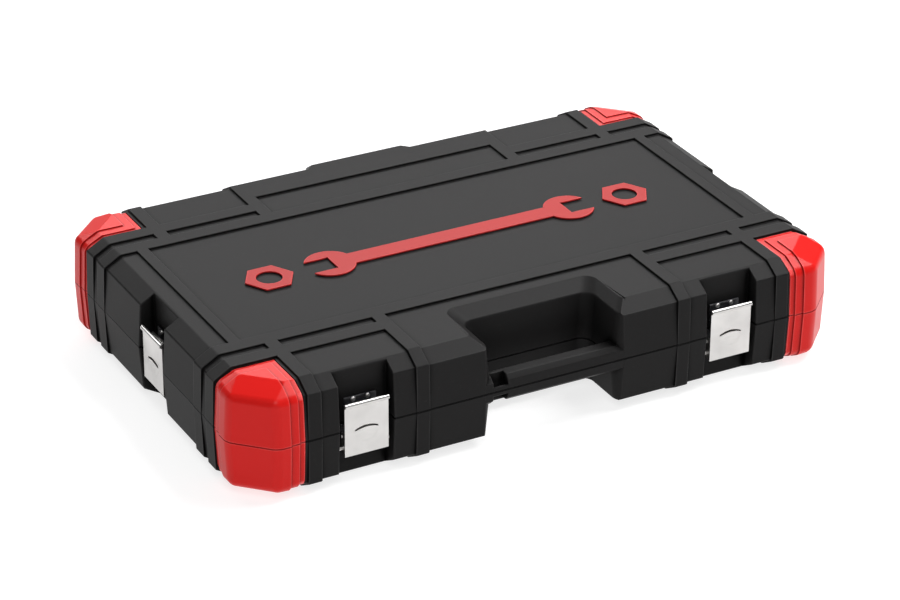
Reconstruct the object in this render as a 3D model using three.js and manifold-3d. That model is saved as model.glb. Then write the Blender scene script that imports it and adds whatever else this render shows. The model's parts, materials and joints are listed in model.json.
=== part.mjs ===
// Socket wrench set in a two-part plastic case, closed, standing on its base.
// Millimetres, +Z up. The handle side faces -Y, the hinge side +Y.
import * as THREE from "three";
import { ConvexGeometry } from "three/addons/geometries/ConvexGeometry.js";
import { mergeVertices } from "three/addons/utils/BufferGeometryUtils.js";
import Module from "manifold-3d";

const wasm = await Module();
wasm.setup();

// ---------------------------------------------------------------- driving dimensions
// Heights called h count up or down from the parting line, z from the underside.
const HALF_WIDTH = 215; // case at the parting line
const HALF_DEPTH = 141.7;
const HALF_HEIGHT = 38; // parting line above the underside, and the lid's height over it
const GAP = 0.3; // air between touching pieces
const WALL = 2.7;

const WALL_TOP = 31; // height over the parting line at which the edge chamfer starts
const CHAMFER = 12; // how far the chamfer runs inwards
const DRAFT = 1;
const RELIEF = 1.5; // depth of the recessed panels under the raised bands
const PANEL_DRAFT = 2.4;

const CENTRE_PANEL = { x: 182.5, y: 69.6 };
const FRAME_BAND = { x: 190.5, y: 80.8 };
const CROSS_BANDS = [
  [88.7, 97.9],
  [162.1, 171.4],
];
const EDGE_BAND = [87.4, 98.4];
const REAR_BAND = { x: 88.7, y: 106.5 };

const CAP_CORNER = { x: 173.3, y: 98.7 }; // inner corner of each red corner cap
const CAP_WALL = 3;
const CAP_STEP = 0.9; // height of each of the two steps along a cap's edge
const CAP_STEP_PLACES = [GAP, 4, 10]; // how far each step starts from the cap's inner edges
const CAP_PROUD = { x: 216, y: 143 };
const CAP_FACETS = [
  { h: 0, inset: 0, sum: 335.5 },
  { h: WALL_TOP, inset: 1.6, sum: 334 },
  { h: HALF_HEIGHT, inset: 14, sum: 310 },
]; // sum is |x| + |y| on the slanted corner facet

const NOTCH_LEVELS = [
  { h: 0, x: 43.5, y: -103.8, front: -HALF_DEPTH },
  { h: WALL_TOP, x: 46.5, y: -101.6, front: -HALF_DEPTH },
  { h: HALF_HEIGHT, x: 55.5, y: -88, front: CHAMFER - HALF_DEPTH },
]; // the handle opening's half width, back wall and front at three heights
const NOTCH_CORNER = 8;
const NOTCH_STEPS = 4; // straight edges in each rounded corner
const NOTCH_MOUTH = 9; // rounding where the opening's sides meet the front wall
const BAR_HALF_LENGTH = 58;
const BAR_SECTION = [
  [-141.3, 0],
  [-140.87, 6.2],
  [-137.5, 9.2],
  [-131.5, 9.8],
  [-127, 6.6],
  [-127, 0],
]; // y and height over the parting line of half the handle bar
const PADLOCK_HOLE = { x: [-44, -34], y: [-139.2, -133.8], rim: 3.2 };
const REAR_FOOT = { half: 42, outerHalf: 34, proud: 1, chamfer: 6, reach: 16, lip: 8 };

const LATCH_WIDTH = 37;
const LATCH_PLACES = [
  { name: "front_left", x: -131.5, y: 0, turn: 0 },
  { name: "front_right", x: 129.5, y: 0, turn: 0 },
  { name: "left", x: HALF_DEPTH - HALF_WIDTH, y: -4, turn: -Math.PI / 2 },
  { name: "right", x: HALF_WIDTH - HALF_DEPTH, y: -4, turn: Math.PI / 2 },
];
const LATCH_WALL = { lid: -129.7, base: -128.2 }; // back of the latch recess
const LEVER_PIVOT = { y: -135, z: 23, eye: 3, bore: 1.6, pin: 1.3 };
const HOOK_PIVOT = { y: -135.2, z: 31.5, eye: 2.6, bore: 1.5, barrel: 1.8, trunnion: 1.2 };
const LEVER = { half: 15, y: [-139.8, -138.6], z: [18.8, 54], curl: 1.5, cheek: [13.7, 14.9] };
const HOOK = { half: 9, y: [-135.8, -134.8], tip: -136.8, top: 52.6 };
const BRACKET = { half: 13.4, y: [-129.7, -128.5], z: [25, 36], ear: [12.2, 13.4] };
const KEEPER = { half: 11, shelf: 46.4, lip: 50.4, rivets: 53.6, top: 56.6, low: 43 };
const RIVET_R = 1.8;

const HINGE = { y: 145.5, r: 3.5, bore: 1.8, pin: 1.5, half: 24, middle: 8 };
const HINGE_PLACES = [
  { name: "left", x: -112 },
  { name: "right", x: 112 },
];
const CENTRE_SHIFT = -3; // puts the origin under the middle of the whole object

const TRAY = { x: 198, front: -124.5, rear: 129, cut: 14, deck: 35.5, skirt: 9.5, floor: 4.3 };
const TRAY_SKIN = 2;
const FOAM = { x: 188, y: [-82, 92], rearX: 168, rearY: 124, underside: 60 };

const EMBLEM = { y: -3, thick: 1.2, spanner: 210, head: 17, jaw: 8, bar: 7 };
const EMBLEM_NUT = { x: 131, r: 17, hole: 8.5 };

// ---------------------------------------------------------------- materials
const material = (color, roughness, metalness) =>
  new THREE.MeshStandardMaterial({ color, roughness, metalness });
const blackShell = () => material(0x2b2a2b, 0.55, 0);
const redPlastic = () => material(0xd8302c, 0.45, 0);
const emblemRed = () => material(0xb23a38, 0.5, 0);
const nickel = () => material(0xd9d6d2, 0.3, 1);
const chrome = () => material(0xcfd2d4, 0.18, 1);
const darkSteel = () => material(0x6a6c70, 0.35, 1);
const trayPlastic = () => material(0x1d1d1e, 0.7, 0);
const foam = () => material(0x333334, 0.95, 0);

// ---------------------------------------------------------------- solids
function solid(geometry) {
  const bare = geometry.index ? geometry.toNonIndexed() : geometry.clone();
  bare.deleteAttribute("normal");
  bare.deleteAttribute("uv");
  const merged = mergeVertices(bare, 1e-4);
  return new wasm.Manifold(
    new wasm.Mesh({
      numProp: 3,
      vertProperties: new Float32Array(merged.attributes.position.array),
      triVerts: new Uint32Array(merged.index.array),
    }),
  );
}

function hull(points) {
  return solid(new ConvexGeometry(points.map((p) => new THREE.Vector3(...p))));
}

function box(x, y, z) {
  const size = [x, y, z].map(([a, b]) => Math.abs(b - a));
  const middle = [x, y, z].map(([a, b]) => (a + b) / 2);
  return solid(new THREE.BoxGeometry(...size).translate(...middle));
}

// A cylinder along "x", "y" or "z" from one end to the other, centred on the two other coordinates.
function rod(axis, centre, ends, r, sides = 20, rEnd = r) {
  const geometry = new THREE.CylinderGeometry(rEnd, r, ends[1] - ends[0], sides);
  geometry.rotateX(Math.PI / 2);
  const middle = (ends[0] + ends[1]) / 2;
  if (axis === "x") {
    geometry.rotateY(Math.PI / 2).translate(middle, centre[0], centre[1]);
  } else if (axis === "y") {
    geometry.rotateX(-Math.PI / 2).translate(centre[0], middle, centre[1]);
  } else {
    geometry.translate(centre[0], centre[1], middle);
  }
  return solid(geometry);
}

function prism(shape, z0, z1, curveSegments = 4) {
  const geometry = new THREE.ExtrudeGeometry(shape, {
    depth: z1 - z0,
    bevelEnabled: false,
    curveSegments,
  });
  return solid(geometry.translate(0, 0, z0));
}

// A straight-sided body between two outlines that have as many points each.
function loft(low, high) {
  const count = low.length;
  const outline = low.map(([x, y]) => new THREE.Vector2(x, y));
  const caps = THREE.ShapeUtils.triangulateShape(outline, []);
  const index = caps.flatMap(([a, b, c]) => [a, c, b, count + a, count + b, count + c]);
  for (let i = 0; i < count; i += 1) {
    const j = (i + 1) % count;
    index.push(i, j, count + j, i, count + j, count + i);
  }
  const geometry = new THREE.BufferGeometry();
  geometry.setAttribute("position", new THREE.Float32BufferAttribute([...low, ...high].flat(), 3));
  geometry.setIndex(index);
  return solid(geometry);
}

function polygon(points) {
  return new THREE.Shape(points.map(([x, y]) => new THREE.Vector2(x, y)));
}

function union(solids) {
  return solids.reduce((all, next) => all.add(next));
}

const group = new THREE.Group();

function addMesh(name, manifold, finish, parent = group) {
  const { vertProperties, triVerts } = manifold.getMesh();
  const geometry = new THREE.BufferGeometry();
  geometry.setAttribute("position", new THREE.BufferAttribute(vertProperties, 3));
  geometry.setIndex(new THREE.BufferAttribute(triVerts, 1));
  geometry.computeVertexNormals();
  const mesh = new THREE.Mesh(geometry, finish);
  mesh.name = name;
  parent.add(mesh);
}

// ---------------------------------------------------------------- case halves
// Heights in this section count from the parting line. side is +1 for the lid, -1 for the base.
const level = (side, h) => HALF_HEIGHT + side * h;
const levels = (side, h0, h1) => [level(side, h0), level(side, h1)];

function octagon(x, y, sum, z) {
  const points = [];
  for (const sx of [-1, 1]) {
    for (const sy of [-1, 1]) {
      points.push([sx * x, sy * (sum - x), z], [sx * (sum - y), sy * y, z]);
    }
  }
  return points;
}

function caseLoft(side, rings) {
  return hull(
    rings.flatMap(({ h, x, y, sum }) => octagon(x, y, sum, level(side, h))),
  );
}

const ring = (h, inset) => {
  const x = HALF_WIDTH - inset;
  const y = HALF_DEPTH - inset;
  return { h, x, y, sum: x + y - 1 };
};

function ribLevel(side) {
  return caseLoft(side, [
    ring(GAP / 2, 0),
    ring(WALL_TOP, DRAFT),
    ring(HALF_HEIGHT, DRAFT + CHAMFER),
  ]);
}

function panelLevel(side) {
  return caseLoft(side, [
    ring(GAP / 2, 0.3),
    ring(WALL_TOP - 0.8, PANEL_DRAFT),
    ring(HALF_HEIGHT - RELIEF, PANEL_DRAFT + CHAMFER - 1),
  ]);
}

function mirroredBoxes(x, y, z) {
  return [-1, 1].flatMap((sx) => [-1, 1].map((sy) =>
    box([sx * x[0], sx * x[1]], [sy * y[0], sy * y[1]], z)));
}

function bands(side) {
  const z = levels(side, -1, HALF_HEIGHT + 1);
  const far = { x: HALF_WIDTH + 1, y: HALF_DEPTH + 1 };
  const sideBands = mirroredBoxes([CENTRE_PANEL.x, far.x], [CENTRE_PANEL.y, FRAME_BAND.y], z);
  const crossBands = CROSS_BANDS.flatMap((x) => mirroredBoxes(x, [CENTRE_PANEL.y, far.y], z));
  const edgeBands = mirroredBoxes([CROSS_BANDS[0][0], far.x], EDGE_BAND, z);
  const frame = box([-FRAME_BAND.x, FRAME_BAND.x], [-FRAME_BAND.y, FRAME_BAND.y], z);
  const centre = box([-CENTRE_PANEL.x, CENTRE_PANEL.x], [-CENTRE_PANEL.y, CENTRE_PANEL.y], z);
  const rear = box([-REAR_BAND.x, REAR_BAND.x], [REAR_BAND.y, far.y], z);
  return union([frame.subtract(centre), ...sideBands, ...crossBands, ...edgeBands, rear]);
}

function capLoft(side, inward, h0) {
  const diagonal = inward * Math.SQRT2;
  return caseLoft(side, CAP_FACETS.map(({ h, inset, sum }, i) => ({
    h: i === 0 ? h0 : h - (i === 2 ? inward : inward * 0.35),
    x: CAP_PROUD.x - inset - inward,
    y: CAP_PROUD.y - inset - inward,
    sum: sum - diagonal,
  })));
}

function cornerBoxes(side, back) {
  const z = levels(side, -1, HALF_HEIGHT + 1);
  return mirroredBoxes(
    [CAP_CORNER.x + back, HALF_WIDTH + 3],
    [CAP_CORNER.y + back, HALF_DEPTH + 3],
    z,
  );
}

// The handle opening seen from above, open at the front with rounded corners.
function notchOutline({ x, y, front }, grow) {
  const half = x + grow;
  const back = y + grow;
  const round = NOTCH_CORNER + grow;
  const mouth = NOTCH_MOUTH - grow;
  const edge = front + grow + mouth;
  const shape = new THREE.Shape();
  shape.moveTo(-half - mouth, -HALF_DEPTH - NOTCH_MOUTH);
  shape.lineTo(half + mouth, -HALF_DEPTH - NOTCH_MOUTH);
  shape.absarc(half + mouth, edge, mouth, -Math.PI / 2, -Math.PI, true);
  shape.absarc(half - round, back - round, round, 0, Math.PI / 2, false);
  shape.absarc(-half + round, back - round, round, Math.PI / 2, Math.PI, false);
  shape.absarc(-half - mouth, edge, mouth, 0, -Math.PI / 2, true);
  return shape.getPoints(NOTCH_STEPS).map((p) => [p.x, p.y]);
}

// The opening through one half: drafted walls, and a flare into the edge chamfer.
function notch(side, grow) {
  const [parting, wallTop, outside] = NOTCH_LEVELS;
  const past = 1;
  const stretch = (HALF_HEIGHT - WALL_TOP + past) / (HALF_HEIGHT - WALL_TOP);
  const beyond = Object.fromEntries(
    ["x", "y", "front"].map((key) => [key, wallTop[key] + (outside[key] - wallTop[key]) * stretch]),
  );
  const flareStart = WALL_TOP - grow * 0.6;
  const at = (outline, h) => notchOutline(outline, grow).map(([x, y]) => [x, y, level(side, h)]);
  const between = (a, b) => (side > 0 ? loft(a, b) : loft(b, a));
  const walls = between(at(parting, grow > 0 ? 0 : -past), at(wallTop, flareStart));
  return walls.add(between(at(wallTop, flareStart), at(beyond, HALF_HEIGHT + past)));
}

function latchRecess(place, back, grow, z) {
  const half = LATCH_WIDTH / 2 + grow;
  const cutter = new THREE.BoxGeometry(2 * half, 20, z[1] - z[0]);
  cutter.translate(0, back + grow - 10, (z[0] + z[1]) / 2);
  cutter.rotateZ(place.turn).translate(place.x, place.y, 0);
  return solid(cutter);
}

function latchRecesses(side, grow) {
  const z = levels(side, -1, HALF_HEIGHT + 2).sort((a, b) => a - b);
  const back = side > 0 ? LATCH_WALL.lid : LATCH_WALL.base;
  return LATCH_PLACES.map((place) => latchRecess(place, back, grow, z));
}

function cavity(side) {
  const main = caseLoft(side, [
    ring(-1, WALL + GAP),
    ring(WALL_TOP - 1.8, WALL + PANEL_DRAFT),
    ring(HALF_HEIGHT - RELIEF - WALL, WALL + PANEL_DRAFT + CHAMFER - 3),
  ]);
  const corners = capLoft(side, CAP_WALL + GAP + WALL, -1);
  const hollow = union([main, corners]).subtract(
    union(cornerBoxes(side, -WALL)).subtract(corners),
  );
  return [notch(side, WALL), ...latchRecesses(side, WALL)].reduce(
    (left, intruder) => left.subtract(intruder),
    hollow,
  );
}

// Half the handle bar. A padlock's shackle goes down through the hole behind a low rim.
function handleBar(side) {
  const points = [-BAR_HALF_LENGTH, BAR_HALF_LENGTH].flatMap((x) =>
    BAR_SECTION.map(([y, h]) => [x, y, level(side, Math.max(h, GAP / 2))]));
  const { x, y, rim } = PADLOCK_HOLE;
  const through = box(x, y, levels(side, -2, 12));
  const front = box(x, [-HALF_DEPTH - 2, y[1]], levels(side, rim, 12));
  return hull(points).subtract(through).subtract(front);
}

function knuckle(side, x0, x1) {
  const { y, r, bore } = HINGE;
  const barrel = rod("x", [y, HALF_HEIGHT], [x0, x1], r, 16);
  const web = hull([
    [x0, HALF_DEPTH - 2, level(side, 1)],
    [x1, HALF_DEPTH - 2, level(side, 1)],
    [x0, HALF_DEPTH - 2, level(side, 12)],
    [x1, HALF_DEPTH - 2, level(side, 12)],
    [x0, y + r * 0.7, level(side, r * 0.7)],
    [x1, y + r * 0.7, level(side, r * 0.7)],
    [x0, y, level(side, 1)],
    [x1, y, level(side, 1)],
  ]);
  return { body: barrel.add(web), bore: rod("x", [y, HALF_HEIGHT], [x0 - 1, x1 + 1], bore, 12) };
}

function knuckles(side) {
  const { half, middle } = HINGE;
  return HINGE_PLACES.flatMap(({ x }) => (side > 0
    ? [knuckle(side, x - middle + GAP, x + middle - GAP)]
    : [knuckle(side, x - half, x - middle), knuckle(side, x + middle, x + half)]));
}

// The block at the middle of the back that the case stands on when it is put upright.
function rearFoot(side) {
  const { half, outerHalf, proud, chamfer, reach, lip } = REAR_FOOT;
  const shoulder = HALF_HEIGHT - chamfer;
  const corners = [
    [half, HALF_DEPTH - 3, GAP / 2],
    [half, HALF_DEPTH + proud, GAP / 2],
    [outerHalf, HALF_DEPTH + proud, shoulder],
    [outerHalf, HALF_DEPTH - lip, HALF_HEIGHT],
    [half, HALF_DEPTH - reach, HALF_HEIGHT],
    [half, HALF_DEPTH - reach, shoulder],
  ];
  return hull(corners.flatMap(([x, y, h]) => [-x, x].map((sx) => [sx, y, level(side, h)])));
}

function shellHalf(side) {
  const corners = union(cornerBoxes(side, 0));
  const core = capLoft(side, CAP_WALL + GAP, GAP / 2);
  const outside = panelLevel(side)
    .add(ribLevel(side).intersect(bands(side)))
    .add(rearFoot(side).subtract(cavity(side)))
    .subtract(corners)
    .add(core.intersect(union(cornerBoxes(side, -1))))
    .subtract(notch(side, 0));
  const shell = [cavity(side), ...latchRecesses(side, 0)].reduce(
    (left, cut) => left.subtract(cut),
    outside,
  );
  const hinge = knuckles(side);
  const joined = [handleBar(side), ...hinge.map((k) => k.body)].reduce(
    (all, next) => all.add(next),
    shell,
  );
  return joined.subtract(union(hinge.map((k) => k.bore)));
}

// ---------------------------------------------------------------- corner caps
function cornerCap(side, sx, sy) {
  const quarter = (back) => box(
    [sx * (CAP_CORNER.x + back), sx * (HALF_WIDTH + 3)],
    [sy * (CAP_CORNER.y + back), sy * (HALF_DEPTH + 3)],
    levels(side, -1, HALF_HEIGHT + 1),
  );
  const steps = CAP_STEP_PLACES.map((back, i) => {
    const down = (CAP_STEP_PLACES.length - 1 - i) * CAP_STEP;
    return capLoft(side, down, GAP / 2).intersect(quarter(back));
  });
  const outer = union(steps);
  return outer.subtract(capLoft(side, CAP_WALL, -1));
}

// ---------------------------------------------------------------- lid fittings
function emblemNut() {
  const nut = new THREE.Shape();
  for (let i = 0; i < 6; i += 1) {
    const angle = (i * Math.PI) / 3;
    const point = [EMBLEM_NUT.r * Math.cos(angle), EMBLEM_NUT.r * Math.sin(angle)];
    if (i === 0) nut.moveTo(...point);
    else nut.lineTo(...point);
  }
  const hole = new THREE.Path();
  hole.absarc(0, 0, EMBLEM_NUT.hole, 0, 2 * Math.PI, true);
  nut.holes.push(hole);
  return prism(nut, 0, EMBLEM.thick, 16);
}

// An open-ended spanner: a bar with a jaw at each end.
function emblemSpanner() {
  const { thick, spanner, head, jaw, bar } = EMBLEM;
  const half = spanner / 2;
  const end = (sx) => {
    const disk = rod("z", [sx * (half - head), 0], [0, thick], head, 32);
    const mouth = box([sx * (half - head - 2), sx * (half + 2)], [-jaw, jaw], [-1, thick + 1]);
    return disk.subtract(mouth);
  };
  const inner = half - 1.8 * head;
  return union([end(-1), end(1), box([-inner, inner], [-bar, bar], [0, thick])]);
}

// ---------------------------------------------------------------- latches
// Built for the front wall: x across the latch, the wall's outside towards -Y.
const disc = (x, { y, z }, r, sides = 12) => rod("x", [y, z], x, r, sides);

function slab(x, corners) {
  return hull(x.flatMap((at) => corners.map(([y, z]) => [at, y, z])));
}

const bothSides = (x) => [x, x.map((v) => -v).reverse()];

function circlePoints({ y, z }, r, sides = 10) {
  return Array.from({ length: sides }, (_, i) => {
    const angle = (2 * Math.PI * i) / sides;
    return [y + r * Math.cos(angle), z + r * Math.sin(angle)];
  });
}

function leverCheek(x) {
  const plate = LEVER.y[1] - 0.3;
  return slab(x, [
    ...circlePoints(LEVER_PIVOT, LEVER_PIVOT.eye),
    ...circlePoints(HOOK_PIVOT, HOOK_PIVOT.eye),
    [plate, LEVER_PIVOT.z - LEVER_PIVOT.eye],
    [plate, HOOK_PIVOT.z + LEVER_PIVOT.eye + 0.5],
  ]);
}

const acrossLatch = [-LEVER.half - 1, LEVER.half + 1];
const pivotBore = (pivot) => disc(acrossLatch, pivot, pivot.bore);

function latchLever() {
  const { half, y, z, curl, cheek } = LEVER;
  const plate = box([-half, half], y, z);
  const edge = disc([-cheek[1] + 0.1, cheek[1] - 0.1], { y: y[0] - 0.1, z: z[1] }, curl);
  const cheeks = bothSides(cheek).map((x) => leverCheek(x));
  return union([plate, edge, ...cheeks])
    .subtract(pivotBore(LEVER_PIVOT))
    .subtract(pivotBore(HOOK_PIVOT));
}

function latchHook() {
  const { half, y, tip, top } = HOOK;
  const { barrel, trunnion } = HOOK_PIVOT;
  const roll = disc([-BRACKET.half, BRACKET.half], HOOK_PIVOT, barrel);
  const ends = disc([-LEVER.half - GAP, LEVER.half + GAP], HOOK_PIVOT, trunnion, 10);
  const strip = box([-half, half], y, [HOOK_PIVOT.z, top]);
  const lip = box([-half, half], [tip, y[1]], [top - 1, top]);
  return union([roll, ends, strip, lip]);
}

function latchBracket() {
  const { half, y, z, ear } = BRACKET;
  const back = box([-half, half], y, z);
  const ears = bothSides(ear).map((x) => slab(x, [
    ...circlePoints(LEVER_PIVOT, LEVER_PIVOT.eye),
    [y[1] - 0.1, z[0]],
    [y[1] - 0.1, z[0] + 6],
  ]));
  const rivets = [-6, 6].map((x) => rod("y", [x, z[1] - 3], [y[0] - 0.9, y[0] + 0.1], RIVET_R, 10));
  return union([back, ...ears, ...rivets]).subtract(pivotBore(LEVER_PIVOT));
}

function latchKeeper() {
  const { half, shelf, lip, rivets, top, low } = KEEPER;
  const back = box([-half, half], [-131.2, -130], [low, top]);
  const ledge = box([-HOOK.half, HOOK.half], [-134, -131], [shelf, shelf + 1.2]);
  const upturn = box([-HOOK.half, HOOK.half], [-134, -132.8], [shelf, lip]);
  const heads = [-5, 5].map((x) => rod("y", [x, rivets], [-132.4, -131.1], RIVET_R, 10));
  return union([back, ledge, upturn, ...heads]);
}

const latchPin = () => disc([-LEVER.half - 2.4, LEVER.half + 2.4], LEVER_PIVOT, LEVER_PIVOT.pin);

function addLatch({ name, x, y, turn }) {
  const place = new THREE.Group();
  place.position.set(x, y, 0);
  place.rotation.z = turn;
  group.add(place);
  addMesh(`latch_lever_${name}`, latchLever(), nickel(), place);
  addMesh(`latch_hook_${name}`, latchHook(), nickel(), place);
  addMesh(`latch_bracket_${name}`, latchBracket(), nickel(), place);
  addMesh(`latch_pin_${name}`, latchPin(), nickel(), place);
  addMesh(`latch_keeper_${name}`, latchKeeper(), nickel(), place);
}

// ---------------------------------------------------------------- tools
// A ratchet lies along +X from its head, with the drive square pointing down.
const HALF_INCH = {
  name: "half_inch",
  x: -158,
  y: -62,
  head: 18,
  bottom: 20,
  thick: 16,
  square: 12.7,
  squareLength: 13.8,
  neck: 7,
  grip: [120, 245],
  gripR: 13.5,
};
const QUARTER_INCH = {
  name: "quarter_inch",
  x: -172,
  y: 14,
  head: 12,
  bottom: 22,
  thick: 11,
  square: 6.35,
  squareLength: 8,
  neck: 4.5,
  grip: [62, 145],
  gripR: 9.5,
};

// Parts of a ratchet's head as shares of the head's radius.
const GEAR_SHARE = 0.72;
const BUTTON_SHARE = 0.22;
const DIAL_SHARE = 0.56;
const DIAL_THICK = 0.17;
const BUTTON_TRAVEL = 1.2;
const TANG_LENGTH = 30; // of the shaft inside the grip
const TANG_SHARE = 0.7; // of the shaft's radius

const gearRadius = (tool) => tool.head * GEAR_SHARE;
const buttonRadius = (tool) => tool.head * BUTTON_SHARE;
const dialTop = (tool) => topOf(tool) + tool.head * DIAL_THICK;
const topOf = (tool) => tool.bottom + tool.thick;
const axisHeight = (tool) => tool.bottom + tool.thick / 2;

function ratchetBody(tool) {
  const { x, y, head, bottom, neck, grip } = tool;
  const top = topOf(tool);
  const disk = rod("z", [x, y], [bottom, top], head, 28);
  const taper = hull([
    ...[-1, 1].flatMap((s) => [bottom + 1, top - 1].map((z) => [x, y + s * head * 0.8, z])),
    ...[-1, 1].flatMap((s) => [-1, 1].map((t) =>
      [x + head * 2.1, y + s * neck * 0.7, axisHeight(tool) + t * neck * 0.7])),
  ]);
  const shaft = rod("x", [y, axisHeight(tool)], [x + head * 1.6, x + grip[0] - GAP], neck, 16);
  const tangEnds = [x + grip[0] - 2, x + grip[0] + TANG_LENGTH];
  const tang = rod("x", [y, axisHeight(tool)], tangEnds, neck * TANG_SHARE, 12);
  const gearBore = rod("z", [x, y], [bottom - 1, top - 2.7], gearRadius(tool) + GAP, 24);
  const stemHole = rod("z", [x, y], [bottom, top + 1], buttonRadius(tool) + GAP, 16);
  return union([disk, taper, shaft, tang]).subtract(gearBore).subtract(stemHole);
}

function driveSquare(tool) {
  const { x, y, bottom, square, squareLength, thick } = tool;
  const gear = rod("z", [x, y], [bottom + GAP, bottom + thick - 3], gearRadius(tool), 24);
  const s = square / 2;
  const post = box([x - s, x + s], [y - s, y + s], [bottom - squareLength, bottom + 2]);
  const ball = rod("x", [y, bottom - squareLength * 0.45], [x, x + s + 0.5], square * 0.16, 12);
  return union([gear, post, ball]);
}

function selectorLever(tool) {
  const { x, y, head } = tool;
  const z = [topOf(tool) + GAP, dialTop(tool)];
  const dial = rod("z", [x, y], z, head * DIAL_SHARE, 20);
  const tab = hull([
    ...z.flatMap((h) => [[x - head * 0.3, y + head * 0.3, h], [x - head * 0.3, y - head * 0.3, h]]),
    ...z.flatMap((h) => [[x - head * 0.85, y + head * 0.16, h], [x - head * 0.85, y - head * 0.16, h]]),
  ]);
  return dial.add(tab).subtract(rod("z", [x, y], [z[0] - 1, z[1] + 1], buttonRadius(tool) + GAP));
}

function releaseButton(tool) {
  const z = [topOf(tool) - BUTTON_TRAVEL, dialTop(tool) + 1.6];
  return rod("z", [tool.x, tool.y], z, buttonRadius(tool), 12);
}

function ratchetGrip(tool) {
  const { x, y, grip, gripR, neck } = tool;
  const length = grip[1] - grip[0];
  const profile = [
    [0, 0.78],
    [0.05, 0.95],
    [0.22, 1],
    [0.5, 0.86],
    [0.82, 1],
    [0.96, 0.92],
    [1, 0.7],
  ].map(([t, r]) => new THREE.Vector2(gripR * r, t * length));
  const outline = [new THREE.Vector2(0, 0), ...profile, new THREE.Vector2(0, length)];
  const lathe = new THREE.LatheGeometry(outline, 16);
  lathe.rotateZ(-Math.PI / 2).translate(x + grip[0], y, axisHeight(tool));
  const boreEnds = [x + grip[0] - 1, x + grip[0] + TANG_LENGTH + 1];
  const bore = rod("x", [y, axisHeight(tool)], boreEnds, neck * TANG_SHARE + GAP, 12);
  return solid(lathe).subtract(bore);
}

const CUP_SHARE = 1.45; // radius of an extension bar's socket end against its shaft's

// An extension bar: a socket end with a square hole, a shaft and a drive square.
function extensionBar(axis, centre, ends, bar, square) {
  const [start, end] = ends;
  const shaft = rod(axis, centre, [start + 20, end - square], bar, 16);
  const cup = rod(axis, centre, [start, start + 24], bar * CUP_SHARE, 16);
  const step = rod(axis, centre, [end - square - 12, end - square], bar * 1.25, 16);
  const s = square / 2;
  const across = [centre[0] - s, centre[0] + s];
  const up = [centre[1] - s, centre[1] + s];
  const along = (a, b) => (axis === "x" ? box([a, b], across, up) : box(across, [a, b], up));
  return union([shaft, cup, step, along(end - square - 2, end)])
    .subtract(along(start - 1, start + square));
}

// Sockets stand with the hexagon mouth up: across flats, outside radius, length and place.
const SOCKET_ROWS = [
  {
    prefix: "socket_half",
    y: 99,
    gap: 9,
    start: -164,
    drive: 12.7,
    length: 38,
    sizes: [32, 27, 24, 21, 19, 17],
  },
  {
    prefix: "socket_quarter",
    y: 54,
    gap: 8,
    start: -164,
    drive: 6.35,
    length: 25,
    sizes: [14, 13, 12, 11, 10],
  },
];
const SOCKET_WALL = 3.6;
const SOCKET_PROUD = 0.18; // share of a socket's length that stands above the tray
const socketTop = (length) => TRAY.deck + length * SOCKET_PROUD;

function socketSpecs() {
  return SOCKET_ROWS.flatMap((row) => {
    let x = row.start;
    return row.sizes.map((size) => {
      const r = Math.max(size / Math.sqrt(3) + SOCKET_WALL * (row.drive / 12.7), row.drive * 0.85);
      const spec = { ...row, name: `${row.prefix}_${size}`, size, r, x: x + r };
      x += 2 * r + row.gap;
      return spec;
    });
  });
}

function socket({ x, y, r, size, drive, length }) {
  const top = socketTop(length);
  const base = top - length;
  const body = rod("z", [x, y], [base, top], r, 20);
  const mouth = rod("z", [x, y], [base + length * 0.45, top + 1], size / Math.sqrt(3), 6);
  const s = drive / 2;
  const square = box([x - s, x + s], [y - s, y + s], [base - 1, top - length * 0.3]);
  return body.subtract(mouth).subtract(square);
}

function addRatchet(tool) {
  addMesh(`ratchet_body_${tool.name}`, ratchetBody(tool), chrome());
  addMesh(`ratchet_drive_square_${tool.name}`, driveSquare(tool), chrome());
  addMesh(`ratchet_selector_${tool.name}`, selectorLever(tool), darkSteel());
  addMesh(`ratchet_release_button_${tool.name}`, releaseButton(tool), chrome());
  addMesh(`ratchet_grip_${tool.name}`, ratchetGrip(tool), redPlastic());
}

// ---------------------------------------------------------------- tool tray
const LONG_BAR = { centre: [-24, 23.5], ends: [-176, 74], bar: 7, square: 12.7 };
const SHORT_BAR = { centre: [176, 23.5], ends: [-98, 27], bar: 7, square: 12.7 };

function trayOutline(inward) {
  const x = TRAY.x - inward;
  const front = TRAY.front + inward;
  const rear = TRAY.rear - inward;
  const { cut } = TRAY;
  const nx = NOTCH_LEVELS[1].x + WALL + 1 + inward;
  const ny = NOTCH_LEVELS[1].y + WALL + 1 + inward;
  return polygon([
    [-x + cut, front],
    [-nx, front],
    [-nx, ny],
    [nx, ny],
    [nx, front],
    [x - cut, front],
    [x, front + cut],
    [x, rear - cut],
    [x - cut, rear],
    [-x + cut, rear],
    [-x, rear - cut],
    [-x, front + cut],
  ]);
}

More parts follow.
